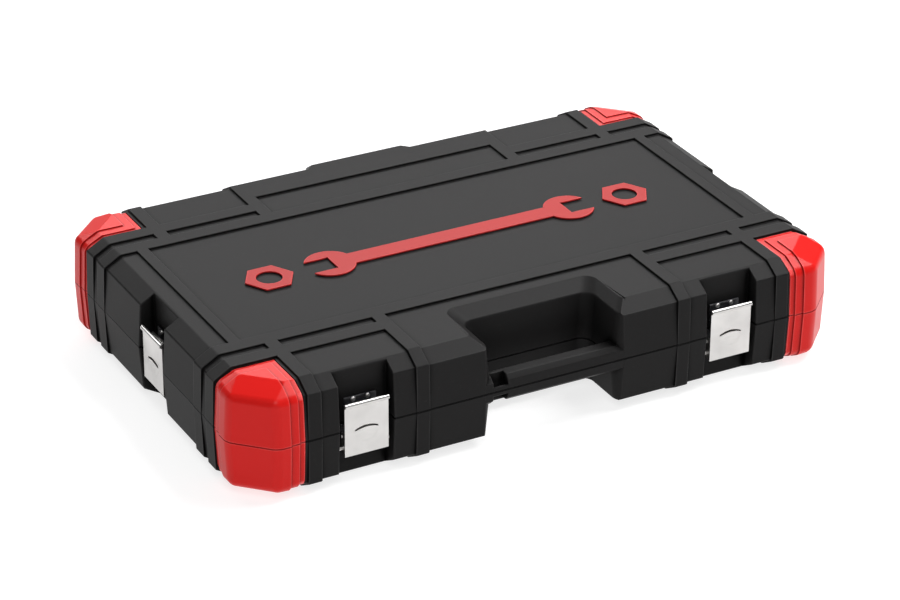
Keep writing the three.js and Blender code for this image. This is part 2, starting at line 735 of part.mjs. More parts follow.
// Pockets for the tools, each grown by some clearance. They are open at the top.
function pockets(grow) {
  const top = TRAY.deck + (grow > 1 ? 0 : 3);
  const down = (z) => [Math.max(z - grow, TRAY.floor), top];
  const around = (x0, x1, y0, y1, z) => box(
    [x0 - grow, x1 + grow],
    [y0 - grow, y1 + grow],
    down(z),
  );
  const ratchets = [HALF_INCH, QUARTER_INCH].flatMap((tool) => {
    const { x, y, head, neck, grip, gripR, bottom, squareLength } = tool;
    const low = axisHeight(tool) - gripR;
    return [
      rod("z", [x, y], down(bottom - 1), head + grow, 20),
      rod("z", [x, y], down(bottom - squareLength - 1), head * 0.6 + grow, 12),
      around(x, x + grip[0], y - neck, y + neck, axisHeight(tool) - neck),
      around(x, x + head * 2.2, y - head * 0.8, y + head * 0.8, bottom - 1),
      around(x + grip[0] - 1, x + grip[1] + 1, y - gripR, y + gripR, low),
    ];
  });
  const bars = [LONG_BAR, SHORT_BAR].map((tool) => {
    const cup = tool.bar * CUP_SHARE;
    const [middle, height] = tool.centre;
    const across = [middle - cup, middle + cup];
    const plan = tool === LONG_BAR ? [tool.ends, across] : [across, tool.ends];
    return around(...plan.flat(), height - cup);
  });
  const wells = socketSpecs().map(({ x, y, r, length }) =>
    rod("z", [x, y], down(socketTop(length) - length), r + grow, 16));
  return union([...ratchets, ...bars, ...wells]);
}

function toolTray() {
  const block = prism(trayOutline(0), TRAY.skirt, TRAY.deck);
  const under = prism(trayOutline(TRAY_SKIN), TRAY.skirt - 1, TRAY.deck - TRAY_SKIN);
  const wellWalls = pockets(GAP + TRAY_SKIN);
  return block.subtract(under).add(wellWalls).subtract(pockets(GAP + 0.2));
}

// The foam is narrower at the back, where the rear corner caps reach into the lid.
function lidFoam() {
  const { x, y, rearX, rearY, underside } = FOAM;
  const outline = polygon([
    [-x, y[0]],
    [x, y[0]],
    [x, y[1]],
    [rearX, y[1]],
    [rearX, rearY],
    [-rearX, rearY],
    [-rearX, y[1]],
    [-x, y[1]],
  ]);
  return prism(outline, underside, 2 * HALF_HEIGHT - RELIEF - WALL - GAP);
}

// ---------------------------------------------------------------- assembly
addMesh("base_shell", shellHalf(-1), blackShell());
addMesh("lid_shell", shellHalf(1), blackShell());

const CAP_PLACES = [
  { name: "front_left", sx: -1, sy: -1 },
  { name: "front_right", sx: 1, sy: -1 },
  { name: "rear_left", sx: -1, sy: 1 },
  { name: "rear_right", sx: 1, sy: 1 },
];
for (const { name, sx, sy } of CAP_PLACES) {
  addMesh(`base_cap_${name}`, cornerCap(-1, sx, sy), redPlastic());
  addMesh(`lid_cap_${name}`, cornerCap(1, sx, sy), redPlastic());
}

for (const { name, x } of HINGE_PLACES) {
  const ends = [x - HINGE.half, x + HINGE.half];
  addMesh(`hinge_pin_${name}`, rod("x", [HINGE.y, HALF_HEIGHT], ends, HINGE.pin, 12), nickel());
}

for (const place of LATCH_PLACES) addLatch(place);

const PANEL_TOP = 2 * HALF_HEIGHT - RELIEF + GAP;
addMesh("emblem_spanner", emblemSpanner().translate([0, EMBLEM.y, PANEL_TOP]), emblemRed());
for (const [name, side] of [["left", -1], ["right", 1]]) {
  const nut = emblemNut().translate([side * EMBLEM_NUT.x, EMBLEM.y, PANEL_TOP]);
  addMesh(`emblem_nut_${name}`, nut, emblemRed());
}

addMesh("tool_tray", toolTray(), trayPlastic());
addMesh("lid_foam", lidFoam(), foam());
addRatchet(HALF_INCH);
addRatchet(QUARTER_INCH);
const barOf = (axis, { centre, ends, bar, square }) => extensionBar(axis, centre, ends, bar, square);
addMesh("extension_bar_long", barOf("x", LONG_BAR), chrome());
addMesh("extension_bar_short", barOf("y", SHORT_BAR), chrome());
for (const spec of socketSpecs()) addMesh(spec.name, socket(spec), chrome());

group.position.y = CENTRE_SHIFT;

export default group;
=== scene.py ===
"""Looks for the socket set in its case: moulded shells, steel latches, chrome tools."""

import json
import math

import bmesh
import bpy
from mathutils import Matrix, Vector
from mathutils.geometry import convex_hull_2d


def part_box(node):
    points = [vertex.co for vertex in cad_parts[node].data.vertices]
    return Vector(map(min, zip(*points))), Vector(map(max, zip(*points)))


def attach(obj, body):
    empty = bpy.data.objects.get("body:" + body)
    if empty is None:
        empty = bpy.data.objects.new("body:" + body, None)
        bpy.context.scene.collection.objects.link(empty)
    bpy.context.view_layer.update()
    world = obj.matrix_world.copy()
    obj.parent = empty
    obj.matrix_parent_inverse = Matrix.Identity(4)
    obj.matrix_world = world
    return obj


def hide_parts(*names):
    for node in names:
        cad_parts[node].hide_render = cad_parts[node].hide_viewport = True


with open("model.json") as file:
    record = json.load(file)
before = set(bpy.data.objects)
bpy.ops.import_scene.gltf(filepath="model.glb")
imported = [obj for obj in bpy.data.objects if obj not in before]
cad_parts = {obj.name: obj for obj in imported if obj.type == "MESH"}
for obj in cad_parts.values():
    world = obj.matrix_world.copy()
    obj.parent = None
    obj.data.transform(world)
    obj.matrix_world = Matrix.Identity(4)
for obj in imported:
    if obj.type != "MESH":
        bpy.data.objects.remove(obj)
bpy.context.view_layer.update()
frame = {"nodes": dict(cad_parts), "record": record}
NODES = frame["nodes"]
MM = 0.001
CORNERS = ("front_left", "front_right", "rear_left", "rear_right")
LATCHES = ("front_left", "front_right", "left", "right")
PARTING = 38 * MM  # the level where the two shells meet

OPEN_FACE = 0.98  # openness from which a face counts as open
EDGE_REACH = 1 * MM  # how wide the painted highlight and the smoother rubbing along an edge reach
CORNER_REACH = 4 * MM  # how wide the painted shade in a corner reaches
HOLLOW_REACH = 30 * MM  # how near its walls a hollow gets painted shade
LINE_FADE = 0.35 * MM
DUST = (0.35, 0.35, 0.34)


# ---------------------------------------------------------------- node materials
class Shader:
    """A Principled material with a few shorthand node calls."""

    def __init__(self, name, **sockets):
        self.material = bpy.data.materials.new(name)
        self.material.use_nodes = True
        self.tree = self.material.node_tree
        self.bsdf = self.tree.nodes["Principled BSDF"]
        coordinates = self.add("ShaderNodeTexCoord")
        self.position = coordinates.outputs["Object"]
        self.facing = coordinates.outputs["Normal"]
        for key, value in sockets.items():
            self.bsdf.inputs[key.replace("_", " ")].default_value = value

    def add(self, kind, inputs=None, **settings):
        node = self.tree.nodes.new(kind)
        for key, value in settings.items():
            setattr(node, key, value)
        for key, value in (inputs or {}).items():
            if isinstance(value, bpy.types.NodeSocket):
                self.tree.links.new(value, node.inputs[key])
            else:
                node.inputs[key].default_value = value
        return node

    def noise(self, scale, detail=3.0, roughness=0.55, vector=None):
        inputs = {
            "Vector": vector or self.position,
            "Scale": scale,
            "Detail": detail,
            "Roughness": roughness,
        }
        return self.add("ShaderNodeTexNoise", inputs).outputs["Fac"]

    def cells(self, scale):
        inputs = {"Vector": self.position, "Scale": scale}
        return self.add("ShaderNodeTexVoronoi", inputs).outputs["Distance"]

    def stretched(self, factors):
        inputs = {"Vector": self.position, "Scale": factors}
        return self.add("ShaderNodeMapping", inputs).outputs["Vector"]

    def span(self, value, low, high, start=0.0, end=1.0):
        """Maps low to high onto start to end."""
        inputs = {
            "Value": value,
            "From Min": low,
            "From Max": high,
            "To Min": start,
            "To Max": end,
        }
        return self.add("ShaderNodeMapRange", inputs).outputs["Result"]

    def mix(self, factor, first, second):
        node = self.add("ShaderNodeMix", data_type="RGBA")
        kinds = {"Factor": "VALUE", "A": "RGBA", "B": "RGBA"}
        for key, value in {"Factor": factor, "A": first, "B": second}.items():
            target = next(s for s in node.inputs if s.name == key and s.type == kinds[key])
            if isinstance(value, bpy.types.NodeSocket):
                self.tree.links.new(value, target)
            else:
                target.default_value = value if key == "Factor" else (*value, 1)
        return next(s for s in node.outputs if s.type == "RGBA")

    def maths(self, operation, first, second=0.0):
        node = self.add("ShaderNodeMath", operation=operation)
        for index, value in enumerate((first, second)):
            if isinstance(value, bpy.types.NodeSocket):
                self.tree.links.new(value, node.inputs[index])
            else:
                node.inputs[index].default_value = value
        return node.outputs[0]

    def set(self, key, socket):
        self.tree.links.new(socket, self.bsdf.inputs[key])

    def bump(self, height, distance, strength=1.0):
        inputs = {"Height": height, "Distance": distance, "Strength": strength}
        self.set("Normal", self.add("ShaderNodeBump", inputs).outputs["Normal"])

    def closeness(self, reach, full, inside=False):
        """1 in a tight corner, or with inside along an outer edge, and 0 on open faces.

        full is the openness at which it reaches 1.
        """
        node = self.add(
            "ShaderNodeAmbientOcclusion", {"Distance": reach},
            samples=6, inside=inside, only_local=True,
        )
        return self.span(node.outputs["AO"], full, OPEN_FACE, 1.0, 0.0)

    def upward(self, vector):
        return self.add("ShaderNodeSeparateXYZ", {"Vector": vector}).outputs["Z"]

    def seam(self, level, half, fade):
        """1 along a level line round upright faces."""
        above = self.maths("SUBTRACT", self.upward(self.position), level)
        line = self.span(self.maths("ABSOLUTE", above), half, half + fade, 1.0, 0.0)
        tilt = self.maths("ABSOLUTE", self.upward(self.facing))
        return self.maths("MULTIPLY", line, self.span(tilt, 0.8, 0.95, 1.0, 0.0))


def scaled(colour, factor, lift=0.0):
    """The colour made darker or lighter by a factor, then lifted towards white."""
    return tuple(min(1.0, c * factor + lift) for c in colour)


def moulded_plastic(name, colour, roughness, grain, gloss, edge_highlight=(1.7, 0.012), dark=0.1, line=None):
    """Textured injection moulding: fine grain, edges a little smoother and lifted by a painted
    highlight, and painted shade in corners, in hollows and along the parting line.

    grain is the height of the texture, edge_highlight what scales and lifts the colour along an
    edge as a painted highlight, dark the share of the colour left in a tight corner as painted
    shade, and line half the thickness of a dark parting line painted as the shadow in the gap
    where the two halves meet.
    """
    s = Shader(name, IOR=1.48, Specular_IOR_Level=gloss)
    cloud = s.noise(9, 4)
    fine = s.noise(2600, 2)
    coarse = s.noise(900, 3)
    # Mask along outer edges: it drives a painted highlight in the colour and smoother, rubbed
    # plastic in the roughness.
    edge = s.closeness(EDGE_REACH, 0.55, inside=True)
    rub_and_highlight = s.maths("MULTIPLY", edge, s.span(s.noise(60, 4), 0.35, 0.6, 0.6, 1.0))
    dust = s.span(s.noise(420, 2, 0.7), 0.62, 0.78, 0, 0.015)
    tone = s.mix(s.span(cloud, 0.3, 0.7), scaled(colour, 0.96), scaled(colour, 1.04))
    tone = s.mix(dust, tone, DUST)
    # Painted shade: a hollow made darker near its walls, down to 0.4 of the colour.
    tone = s.mix(s.closeness(HOLLOW_REACH, 0.5), tone, scaled(colour, 0.4))
    # Painted highlight: outer edges lifted lighter, standing in for the light that rounded edges
    # catch.
    tone = s.mix(rub_and_highlight, tone, scaled(colour, *edge_highlight))
    # Painted shade: tight corners made darker, down to the share dark of the colour.
    tone = s.mix(s.closeness(CORNER_REACH, 0.78), tone, scaled(colour, dark))
    # Painted shadow: a dark line along the parting line, standing in for the shade in the gap
    # between the two halves.
    if line:
        tone = s.mix(s.seam(PARTING, line, LINE_FADE), tone, scaled(colour, 0.04))
    s.set("Base Color", tone)
    patch = s.span(cloud, 0.25, 0.75, roughness - 0.012, roughness + 0.012)
    s.set("Roughness", s.maths("SUBTRACT", patch, s.maths("MULTIPLY", rub_and_highlight, 0.12)))
    height = s.maths("ADD", s.maths("MULTIPLY", fine, 0.5), s.maths("MULTIPLY", coarse, 0.8))
    s.bump(height, grain, 0.5)
    return s.material


def plated_steel(name, colour, roughness, brushed, depth):
    """Plated steel with a directional brushing, faint smudges and uneven polish."""
    s = Shader(name, Metallic=1.0)
    smudge = s.noise(35, 3)
    grain = s.noise(240, 2, 0.5, s.stretched(brushed))
    s.set("Base Color", s.mix(s.span(smudge, 0.35, 0.7), colour, scaled(colour, 0.86)))
    base = s.span(smudge, 0.3, 0.7, roughness * 0.85, roughness * 1.25)
    s.set("Roughness", s.maths("ADD", base, s.span(grain, 0.3, 0.7, -0.03, 0.05)))
    s.bump(grain, depth, 0.35)
    return s.material


def open_foam(name, colour):
    """Open-cell foam: small dark pores in a soft grey."""
    s = Shader(name, Roughness=0.95, Specular_IOR_Level=0.15)
    pores = s.span(s.cells(1400), 0.1, 0.45)
    cloud = s.span(s.noise(30, 4), 0.3, 0.7)
    body = s.mix(cloud, scaled(colour, 0.85), scaled(colour, 1.15))
    s.set("Base Color", s.mix(pores, scaled(colour, 0.35), body))
    s.bump(pores, 0.4 * MM, 0.8)
    return s.material


ALONG = (1, 1, 60)  # brushed level
EVEN = (1, 1, 1)
MATERIALS = {
    "black_shell": moulded_plastic(
        "shell_black", (0.0145, 0.014, 0.0141), roughness=0.44, grain=0.06 * MM, gloss=0.06,
        edge_highlight=(2.0, 0.016), dark=0.1, line=0.6 * MM,
    ),
    "red_cap": moulded_plastic(
        "cap_red", (0.62, 0.0105, 0.0085), roughness=0.32, grain=0.03 * MM, gloss=0.14,
        edge_highlight=(1.25, 0.1), dark=0.4, line=0.22 * MM,
    ),
    "emblem_red": moulded_plastic(
        "emblem_red", (0.36, 0.018, 0.017), roughness=0.5, grain=0.04 * MM, gloss=0.2,
    ),
    "tray_plastic": moulded_plastic(
        "tray_grey", (0.026, 0.026, 0.028), roughness=0.6, grain=0.1 * MM, gloss=0.35,
    ),
    "red_grip": moulded_plastic(
        "grip_red", (0.55, 0.018, 0.016), roughness=0.4, grain=0.04 * MM, gloss=0.4,
    ),
    "nickel_steel": plated_steel(
        "nickel_plate", (0.63, 0.617, 0.604), roughness=0.34, brushed=ALONG, depth=0.02 * MM,
    ),
    "chrome_steel": plated_steel(
        "chrome_plate", (0.6, 0.61, 0.62), roughness=0.17, brushed=EVEN, depth=0.005 * MM,
    ),
    # Dark steel; on the latches' keepers and brackets it is painted shade, standing in for the
    # shade they lie in.
    "dark_steel": plated_steel(
        "dark_steel", (0.16, 0.16, 0.17), roughness=0.35, brushed=EVEN, depth=0.01 * MM,
    ),
    "foam": open_foam("foam_grey", (0.05, 0.05, 0.053)),
}
SLOT_OF = {part["node"]: part["material_slot"] for part in frame["record"]["subparts"]}
BODY_OF = {
    node: body
    for body, members in frame["record"]["behaviour"]["bodies"].items()
    for node in members
}


# ---------------------------------------------------------------- mesh helpers
def new_object(name, mesh):
    obj = bpy.data.objects.new(name, mesh)
    bpy.context.scene.collection.objects.link(obj)
    return obj


def object_from(name, bm):
    mesh = bpy.data.meshes.new(name)
    bm.to_mesh(mesh)
    bm.free()
    return new_object(name, mesh)


def apply_modifiers(obj):
    graph = bpy.context.evaluated_depsgraph_get()
    final = bpy.data.meshes.new_from_object(obj.evaluated_get(graph))
    obj.modifiers.clear()
    obj.data = final


def smooth_faces(obj, degrees):
    """Smooth shading with sharp edges kept, and flat faces that stay flat."""
    mesh = obj.data
    mesh.polygons.foreach_set("use_smooth", [True] * len(mesh.polygons))
    mesh.set_sharp_from_angle(angle=math.radians(degrees))
    weighted = obj.modifiers.new("weighted", "WEIGHTED_NORMAL")
    weighted.keep_sharp = True
    weighted.weight = 80
    apply_modifiers(obj)


def add_piece(obj, body, slot, *nodes):
    obj.data.materials.clear()
    obj.data.materials.append(MATERIALS[slot])
    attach(obj, body)
    if nodes:
        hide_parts(*nodes)


def stand_for(obj, node, slot=None):
    """Puts a piece in place of a CAD node, on the same body."""
    add_piece(obj, BODY_OF[node], slot or SLOT_OF[node], node)


# ---------------------------------------------------------------- rounded CAD pieces
FLAT = math.radians(0.6)  # faces that turn less than this lie in one plane
SHARP = math.radians(14)  # edges that turn more than this are bevelled
SHARE = 0.45  # how much of the room between two edges each bevel may take
SEGMENTS = 3
HEAL_ROUNDS = 8
HEAL_REACH = 1.2  # in bevel widths, how near a fold an edge is narrowed
HEAL_SHARE = 0.6  # what is left of its bevel
FOLDED_AREA = 0.02 * MM * MM  # smaller triangles may fold without showing


def joined_faces(node):
    """The CAD node's mesh with coplanar triangles joined.

    Faces are cut at x = 0 first, because one that ran all the way round a hole couldn't be joined.
    """
    bm = bmesh.new()
    bm.from_mesh(NODES[node].data)
    bmesh.ops.remove_doubles(bm, verts=bm.verts, dist=0.02 * MM)
    everything = bm.verts[:] + bm.edges[:] + bm.faces[:]
    cut = bmesh.ops.bisect_plane(
        bm, geom=everything, dist=1e-7, plane_co=(0, 0, 0), plane_no=(1, 0, 0),
    )
    for item in cut["geom_cut"]:
        if isinstance(item, bmesh.types.BMEdge) and len(item.link_faces) == 2:
            item.seam = item.calc_face_angle(0) < FLAT
    for _ in range(3):
        bmesh.ops.dissolve_limit(
            bm, angle_limit=FLAT, verts=bm.verts, edges=bm.edges, delimit={"SEAM"},
        )
    return bm


def point_gap(point, a, b):
    """Distance from a point to the line between a and b."""
    along = b - a
    t = (point - a).dot(along) / max(along.length_squared, 1e-18)
    return (a + along * max(0.0, min(1.0, t)) - point).length


def edge_gap(first, second):
    a, b = (v.co for v in first.verts)
    c, d = (v.co for v in second.verts)
    return min(
        point_gap(a, c, d), point_gap(b, c, d), point_gap(c, a, b), point_gap(d, a, b),
    )


def limit_corners(face, room):
    """Leaves each bevel the room that its neighbour round a face's corner needs."""
    loops = list(face.loops)
    for i, loop in enumerate(loops):
        other = loops[(i + 1) % len(loops)]
        pair = [e for e in (loop.edge, other.edge) if e in room]
        if not pair:
            continue
        shortest = min(loop.edge.calc_length(), other.edge.calc_length())
        angle = other.calc_angle()
        lean = math.tan(angle / 2) if angle < math.pi - 0.01 else 1.0
        factor = min(1.0, lean) if len(pair) == 2 else 1.5
        for edge in pair:
            room[edge] = min(room[edge], SHARE * factor * shortest)


def limit_across(face, room):
    """Keeps the bevels on opposite sides of a narrow face apart."""
    edges = [e for e in face.edges if e in room]
    for i, first in enumerate(edges):
        for second in edges[i + 1:]:
            if set(first.verts) & set(second.verts):
                continue
            gap = SHARE * edge_gap(first, second)
            room[first] = min(room[first], gap)
            room[second] = min(room[second], gap)


def bevel_room(bm, wish):
    """Width for each sharp edge: what wish asks for, cut to what its faces leave."""
    room = {
        e: wish(e) for e in bm.edges
        if len(e.link_faces) == 2 and e.calc_face_angle(0) > SHARP
    }
    for face in bm.faces:
        limit_corners(face, room)
        limit_across(face, room)
    return room


def bevelled(bm, room, width):
    """An object with each edge in room bevelled by its own width, up to the given one."""
    layer = bm.edges.layers.float["bevel_weight_edge"]
    for edge, value in room.items():
        edge[layer] = max(0.0, min(1.0, value / width))
    mesh = bpy.data.meshes.new("rounded")
    bm.to_mesh(mesh)
    obj = new_object("rounded", mesh)
    bevel = obj.modifiers.new("round", "BEVEL")
    bevel.limit_method = "WEIGHT"
    bevel.width = width
    bevel.segments = SEGMENTS
    bevel.use_clamp_overlap = False
    apply_modifiers(obj)
    return obj


def folded_spots(mesh):
    """Corners of the triangles that a bevel has folded over."""
    mesh.calc_loop_triangles()
    spots = []
    for triangle in mesh.loop_triangles:
        corners = [mesh.vertices[i].co for i in triangle.vertices]
        normal = (corners[1] - corners[0]).cross(corners[2] - corners[0])
        if normal.length / 2 < FOLDED_AREA:
            continue
        if normal.normalized().dot(mesh.polygons[triangle.polygon_index].normal) < 0.7:
            spots.extend(c.copy() for c in corners)
    return spots


def rounded_mesh(node, wish, width, prepare=None):
    """Bevels a node's edges, then narrows the bevels wherever a face folded over."""
    bm = joined_faces(node)
    if prepare:
        prepare(bm)
    bm.edges.layers.float.new("bevel_weight_edge")
    room = bevel_room(bm, wish)
    for _ in range(HEAL_ROUNDS):
        obj = bevelled(bm, room, width)
        spots = folded_spots(obj.data)
        if not spots:
            break
        for edge in room:
            a, b = (v.co for v in edge.verts)
            reach = max(HEAL_REACH * room[edge], 0.2 * MM)
            if any(point_gap(spot, a, b) < reach for spot in spots):
                room[edge] *= HEAL_SHARE
        bpy.data.objects.remove(obj)
    else:
        obj = bevelled(bm, room, width)
    bm.free()
    return obj


def round_node(node, wish, width, slot=None, prepare=None):
    """Replaces a CAD node by itself with rounded edges."""
    obj = rounded_mesh(node, wish, width, prepare)
    obj.name = f"{node}_rounded"
    smooth_faces(obj, 32)
    stand_for(obj, node, slot)


def round_evenly(node, width, slot=None):
    """Rounds every outer edge alike, and every inner one a little less."""
    round_node(node, lambda edge: width if edge.is_convex else 0.6 * width, width, slot)


# ---------------------------------------------------------------- the case
CAP_CORNER = (173 * MM, 92 * MM)  # beyond this, a shell edge is beside a corner cap
CHAMFER_START = 32 * MM  # an edge this far from the parting line belongs to the case's top
SHELL_ROUND = 0.9 * MM
CAP_ROUND = 0.7 * MM
FACET_AREA = 45 * MM * MM  # the risers of a cap's steps are smaller than this
FACET_TURN = math.radians(75)  # sharper edges run round a cap's rim
FACET_ROUND = 4 * MM
FACET_SEGMENTS = 6


def shell_wish(edge):
    """Fine rounding in corners and beside the caps, wider on outer and parting edges."""
    if max(abs(v.co.z - PARTING) for v in edge.verts) < MM:
        return 0.8 * MM
    middle = (edge.verts[0].co + edge.verts[1].co) / 2
    if abs(middle.x) > CAP_CORNER[0] and abs(middle.y) > CAP_CORNER[1]:
        return 0.45 * MM
    return SHELL_ROUND if edge.is_convex else 0.4 * MM


def facet_edge(edge):
    """An edge between two of a cap's flat facets, upright or level with the chamfer's start."""
    if len(edge.link_faces) != 2 or not edge.is_convex:
        return False
    if min(face.calc_area() for face in edge.link_faces) < FACET_AREA:
        return False
    heights = [abs(v.co.z - PARTING) for v in edge.verts]
    level = abs(heights[0] - heights[1]) < MM and min(heights) > MM
    upright = min(heights) < MM < max(heights)
    turn = edge.calc_face_angle(0)
    return (level or upright) and max(heights) < CHAMFER_START and SHARP < turn < FACET_TURN


def soften_facets(bm):
    """Rounds a cap's facets into each other, the stepped rim along with them."""
    edges = [e for e in bm.edges if facet_edge(e)]
    bmesh.ops.bevel(
        bm, geom=edges, offset=FACET_ROUND, offset_type="OFFSET", segments=FACET_SEGMENTS,
        profile=0.5, affect="EDGES", clamp_overlap=False,
    )


def cap_wish(edge):
    """Fine rounding on the stepped rim, a little wider along the parting line."""
    if max(abs(v.co.z - PARTING) for v in edge.verts) < MM:
        return CAP_ROUND
    return 0.6 * MM if edge.is_convex else 0.2 * MM


def case():
    """The two shells, the eight corner caps and the emblem."""
    for shell in ("base_shell", "lid_shell"):
        round_node(shell, shell_wish, SHELL_ROUND)
    for corner in CORNERS:
        for half in ("base", "lid"):
            cap = f"{half}_cap_{corner}"
            round_node(cap, cap_wish, CAP_ROUND, prepare=soften_facets)
    for emblem in ("emblem_spanner", "emblem_nut_left", "emblem_nut_right"):
        round_evenly(emblem, 0.35 * MM)


# ---------------------------------------------------------------- latches
# In a latch's own frame x runs across it and y inwards from the lever's outermost point.
# Lengths in this section are in millimetres.
LEVER_HALF = 14.9  # half the lever's width
LEVER_SKIN = 1.1  # thickness of its sheet
LEVER_FACE = 1.6  # how far the flat face lies behind the rolled edge
LEVER_Z = (18.8, 52.2)  # foot and top of the flat face
LEVER_NECK = [(1.5, 52.5), (1.05, 52.75)]  # y and z between the face and the roll
CURL = {"y": 1.5, "z": 54.0, "r": 1.5}  # the rolled edge's centre and radius
THUMB = {
    "z": 37.6,  # top of the thumb catch's arc
    "half": 8.2,  # half its width
    "drop": 10.5,  # its height
    "height": 0.9,  # how far it stands out
    "sag": 2.2,  # how far the arc's ends hang down
    "fade": 14,  # how far above and below it the sheet follows the arc
    "slit": 0.8,  # width of the cut over it
    "ripple": 0.1,  # depth of the ripples on it
    "ripples": 2.5,
}
CHEEK_EYES = [(6.4, 23.0, 3.0), (6.2, 31.5, 2.6)]  # y, z and radius round each pin
CHEEK_ROOT = [(2.5, 20.0), (2.5, 35.0)]  # y and z where the flange meets the face
CHEEK_X = (13.7, 14.85)
# The keeper's two profiles, in y and z.
KEEPER_PLATE = [(10.2, 43.0), (11.4, 43.0), (11.4, 54.8), (10.2, 54.8)]
KEEPER_LIP = [(10.5, 46.4), (10.5, 47.6), (8.6, 47.6), (8.6, 50.4), (7.4, 50.4), (7.4, 46.4)]
RIVET = (5, 53.0, 10.2)  # x, z and y of the surface it stands on
# Radius and height from the foot of a rivet's head to its crown.
RIVET_DOME = [(1.7, 0.0), (1.65, 0.35), (1.4, 0.7), (1.0, 0.95), (0.5, 1.1), (0.1, 1.15)]


def latch_frame(name):
    low, high = (Vector(c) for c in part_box(f"latch_lever_{name}"))
    middle = (low + high) / 2
    if name == "left":
        return Matrix.Translation((low.x, middle.y, 0)) @ Matrix.Rotation(-math.pi / 2, 4, "Z")
    if name == "right":
        return Matrix.Translation((high.x, middle.y, 0)) @ Matrix.Rotation(math.pi / 2, 4, "Z")
    return Matrix.Translation((middle.x, low.y, 0))


def lever_profile():
    """Depth and height up the lever's face, then round its rolled top edge."""
    low, high = LEVER_Z
    steps = 84
    flat = [(LEVER_FACE, low + (high - low) * i / steps) for i in range(steps + 1)]
    roll = []
    for degrees in range(-40, 176, 12):
        angle = math.radians(degrees)
        y = CURL["y"] - CURL["r"] * math.cos(angle)
        roll.append((y, CURL["z"] + CURL["r"] * math.sin(angle)))
    return flat + LEVER_NECK + roll


def thumb_height(x, z):
    """How far the thumb catch stands out at a height before the arc bends it."""
    across = x / THUMB["half"]
    below = (THUMB["z"] - z) / THUMB["drop"]
    inside = 1 - across ** 2 - below ** 2
    if below < 0 or inside <= 0:
        return 0.0
    ripple = THUMB["ripple"] * math.sin(below * THUMB["ripples"] * 2 * math.pi) * inside
    return THUMB["height"] * inside ** 0.6 + ripple


def arc_drop(x, z):
    """How far the arc of the thumb catch pulls the sheet's grid down near it."""
    across = min(1.0, abs(x) / THUMB["half"])
    near = max(0.0, 1 - abs(z - THUMB["z"]) / THUMB["fade"])
    return THUMB["sag"] * across ** 2 * near


def in_slit(x, z):
    """The cut over the thumb catch."""
    return abs(x) < 0.94 * THUMB["half"] and 0 < z - THUMB["z"] < THUMB["slit"]


def lever_plate():
    """The lever's outer face as a fine grid, thickened inwards."""
    bm = bmesh.new()
    columns = 61
    xs = [LEVER_HALF * (2 * i / (columns - 1) - 1) for i in range(columns)]
    profile = lever_profile()
    rows = [
        [bm.verts.new((x, y - thumb_height(x, z), z - arc_drop(x, z))) for x in xs]
        for y, z in profile
    ]
    for j in range(len(rows) - 1):
        z = (profile[j][1] + profile[j + 1][1]) / 2
        for i in range(columns - 1):
            if not in_slit((xs[i] + xs[i + 1]) / 2, z):
                bm.faces.new((rows[j][i], rows[j][i + 1], rows[j + 1][i + 1], rows[j + 1][i]))
    obj = object_from("lever_plate", bm)
    skin = obj.modifiers.new("skin", "SOLIDIFY")
    skin.thickness = LEVER_SKIN
    apply_modifiers(obj)
    round_edges(obj, 0.25, 60)
    return obj


def round_edges(obj, width, degrees):
    bevel = obj.modifiers.new("round", "BEVEL")
    bevel.width = width
    bevel.segments = 2
    bevel.angle_limit = math.radians(degrees)
    apply_modifiers(obj)


def plank(name, points, span):
    """A prism across the latch from points in y and z."""
    bm = bmesh.new()
    near, far = ([bm.verts.new((x, y, z)) for y, z in points] for x in span)
    bm.faces.new(near)
    bm.faces.new(far)
    for i in range(len(points)):
        bm.faces.new((near[i - 1], near[i], far[i], far[i - 1]))
    bmesh.ops.recalc_face_normals(bm, faces=bm.faces)
    return object_from(name, bm)


def lever_cheek(side):
    """The folded flange that carries both pins."""
    points = [Vector(p) for p in CHEEK_ROOT]
    for y, z, r in CHEEK_EYES:
        angles = [2 * math.pi * i / 24 for i in range(24)]
        points += [Vector((y + r * math.cos(a), z + r * math.sin(a))) for a in angles]
    outline = [points[i] for i in convex_hull_2d(points)]
    obj = plank("lever_cheek", outline, [side * x for x in CHEEK_X])
    round_edges(obj, 0.2, 50)
    return obj


def joined_mm(name, parts):
    """Joins pieces drawn in millimetres into one in metres."""
    bm = bmesh.new()
    for part in parts:
        bm.from_mesh(part.data)
        bpy.data.objects.remove(part)
    bmesh.ops.scale(bm, vec=(MM, MM, MM), verts=bm.verts)
    obj = object_from(name, bm)
    smooth_faces(obj, 40)
    return obj


def keeper():
    """A low plate on the lid's wall, bent out and up into the lip that the hook takes."""
    plate = plank("keeper_plate", KEEPER_PLATE, (-11, 11))
    ledge = plank("keeper_ledge", KEEPER_LIP, (-9, 9))
    for part in (plate, ledge):
        round_edges(part, 0.3, 40)
    return joined_mm("keeper", (plate, ledge))


def keeper_rivet(side):
    """The domed head over one of the keeper's rivets."""
    x, z, base = RIVET
    rings = [(circle_radius(r * MM), (base - h) * MM) for r, h in RIVET_DOME]
    return ring_body("rivet", "y", (side * x * MM, z * MM), rings, count=24)


def placed(pattern, name, matrix):
    """A copy of the pattern, moved by the matrix."""
    mesh = pattern.data.copy()
    mesh.transform(matrix)
    return new_object(name, mesh)


